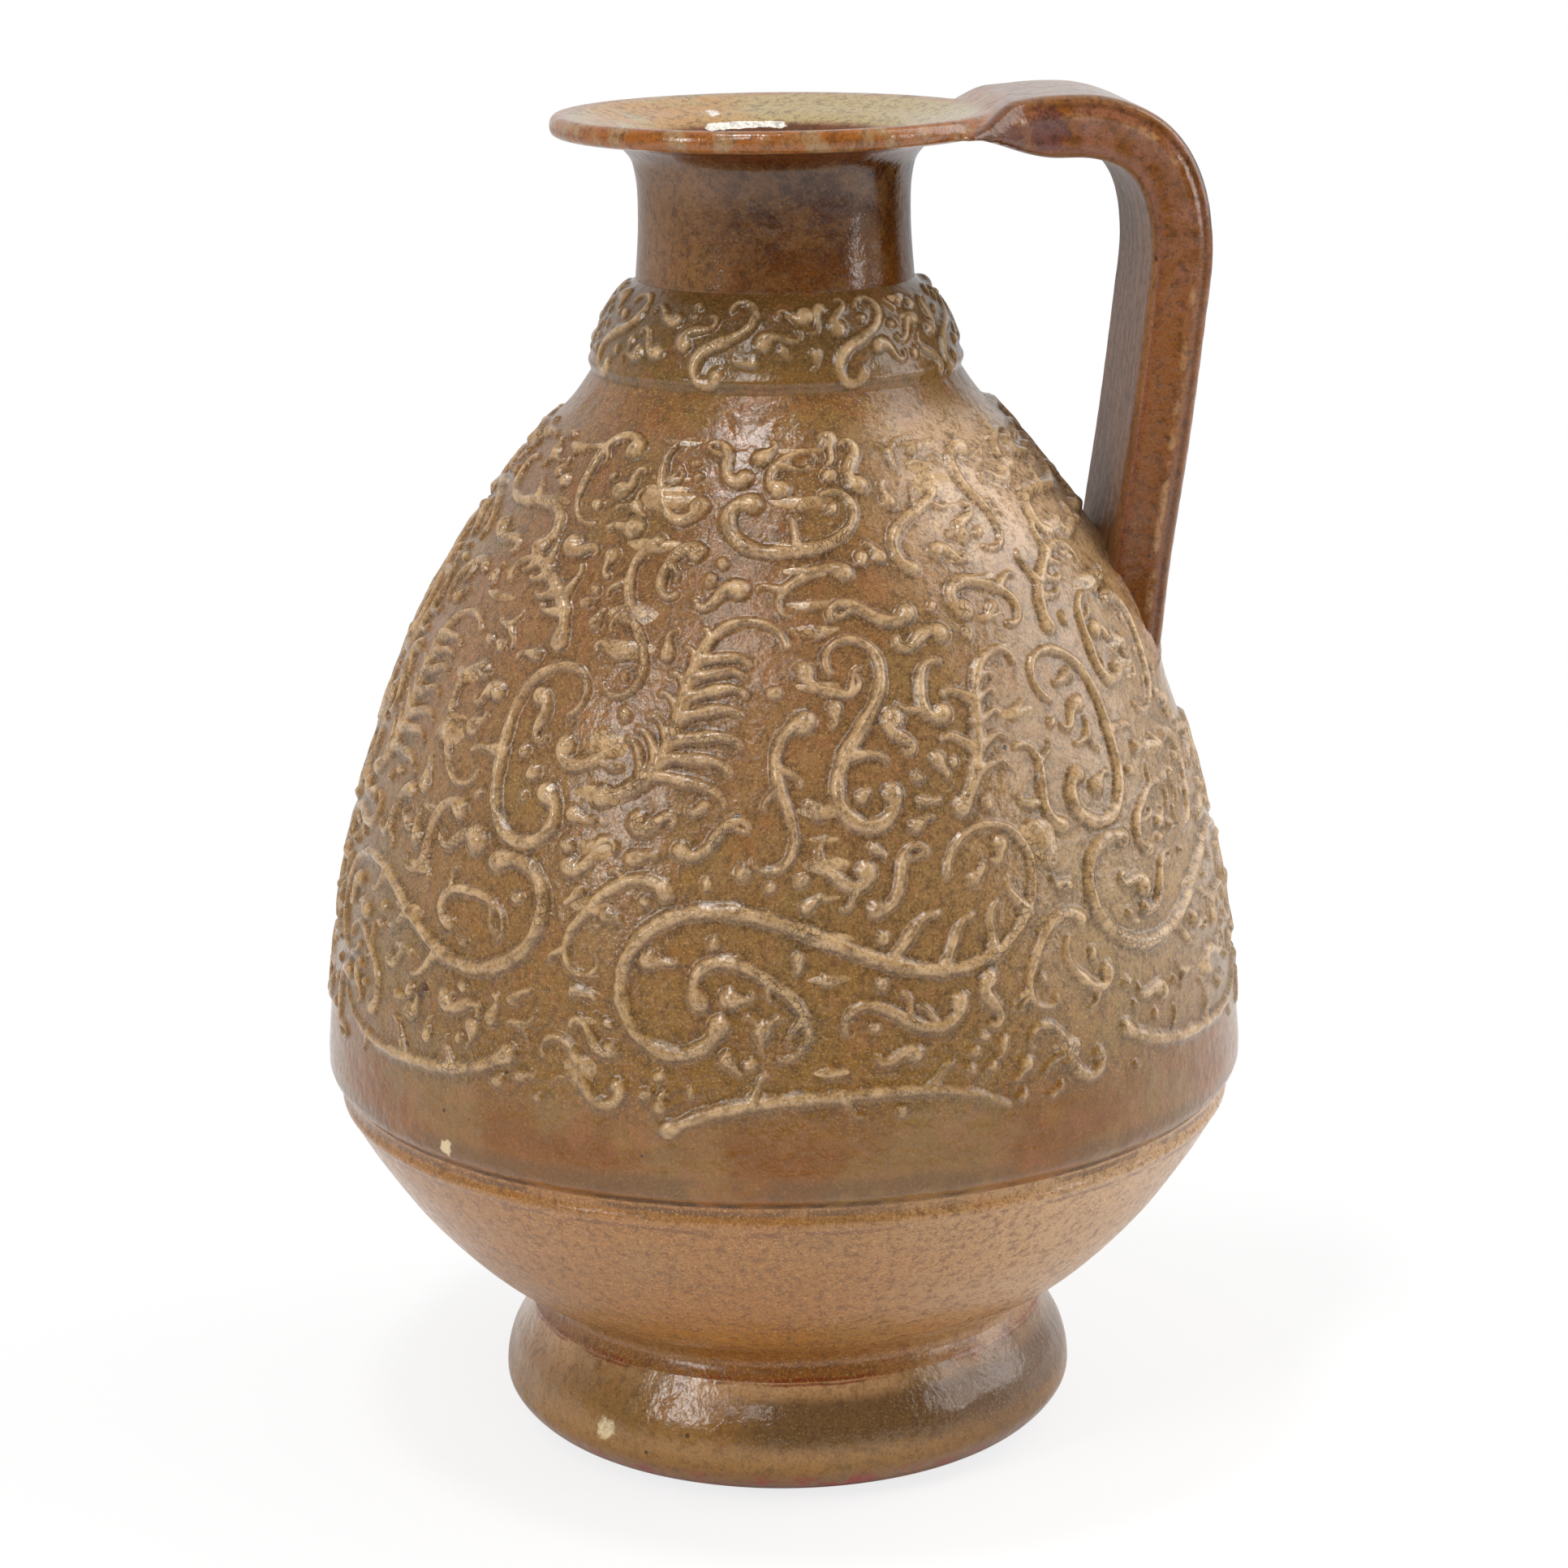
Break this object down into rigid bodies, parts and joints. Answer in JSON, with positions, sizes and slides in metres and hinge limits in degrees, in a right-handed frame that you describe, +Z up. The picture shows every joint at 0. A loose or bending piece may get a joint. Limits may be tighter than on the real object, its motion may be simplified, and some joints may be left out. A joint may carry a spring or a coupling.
{
  "type": "stoneware jug",
  "caption": "Pear-shaped glazed stoneware jug with a turned foot, a wide flat rim, a strap handle and raised slip-trailed scrollwork.",
  "frame": {"origin": "middle of the foot ring on the surface that the jug stands on", "axes": "+Z up along the axis of the jug, +X towards the handle"},
  "size_m": [0.2008, 0.2006, 0.2936],
  "materials": {
    "foot_glaze": "glossy ash-brown glaze",
    "bowl_glaze": "glossy warm buff glaze",
    "body_glaze": "glossy olive-brown glaze, crazed",
    "collar_glaze": "glossy olive-brown glaze",
    "neck_glaze": "glossy dark brown glaze",
    "rim_glaze": "glossy orange-brown glaze",
    "handle_glaze": "glossy red-brown glaze",
    "slip": "cream slip under clear glaze"
  },
  "bodies": {
    "root": {"collar": "collar_glaze", "foot_ring": "foot_glaze", "handle_strap": "handle_glaze", "lower_bowl": "bowl_glaze", "mouth_rim": "rim_glaze", "neck": "neck_glaze", "slip_border_scroll_1": "slip", "slip_border_scroll_2": "slip", "slip_border_scroll_3": "slip", "slip_border_scroll_4": "slip", "slip_border_scroll_5": "slip", "slip_border_scroll_6": "slip", "slip_branch_2": "slip", "slip_branch_4": "slip", "slip_branch_6": "slip", "slip_coil_2": "slip", "slip_coil_4": "slip", "slip_coil_6": "slip", "slip_collar_scroll_1": "slip", "slip_collar_scroll_2": "slip", "slip_collar_scroll_3": "slip", "slip_collar_scroll_4": "slip", "slip_collar_scroll_5": "slip", "slip_collar_scroll_6": "slip", "slip_collar_scroll_7": "slip", "slip_collar_scroll_8": "slip", "slip_crook_1": "slip", "slip_crook_3": "slip", "slip_crook_5": "slip", "slip_double_scroll_2": "slip", "slip_double_scroll_4": "slip", "slip_double_scroll_6": "slip", "slip_feather_3": "slip", "slip_feather_5": "slip", "slip_fringe_1": "slip", "slip_fringe_3": "slip", "slip_fringe_5": "slip", "slip_hem_2": "slip", "slip_hem_4": "slip", "slip_hem_6": "slip", "slip_hook_2": "slip", "slip_hook_4": "slip", "slip_hook_6": "slip", "slip_leaf_scroll_1": "slip", "slip_leaf_scroll_3": "slip", "slip_leaf_scroll_5": "slip", "slip_palm_2": "slip", "slip_palm_4": "slip", "slip_sprig_1": "slip", "slip_sprig_3": "slip", "slip_sprig_5": "slip", "slip_tendril_1": "slip", "slip_tendril_3": "slip", "slip_tendril_5": "slip", "upper_body": "body_glaze"}
  },
  "joints": []
}
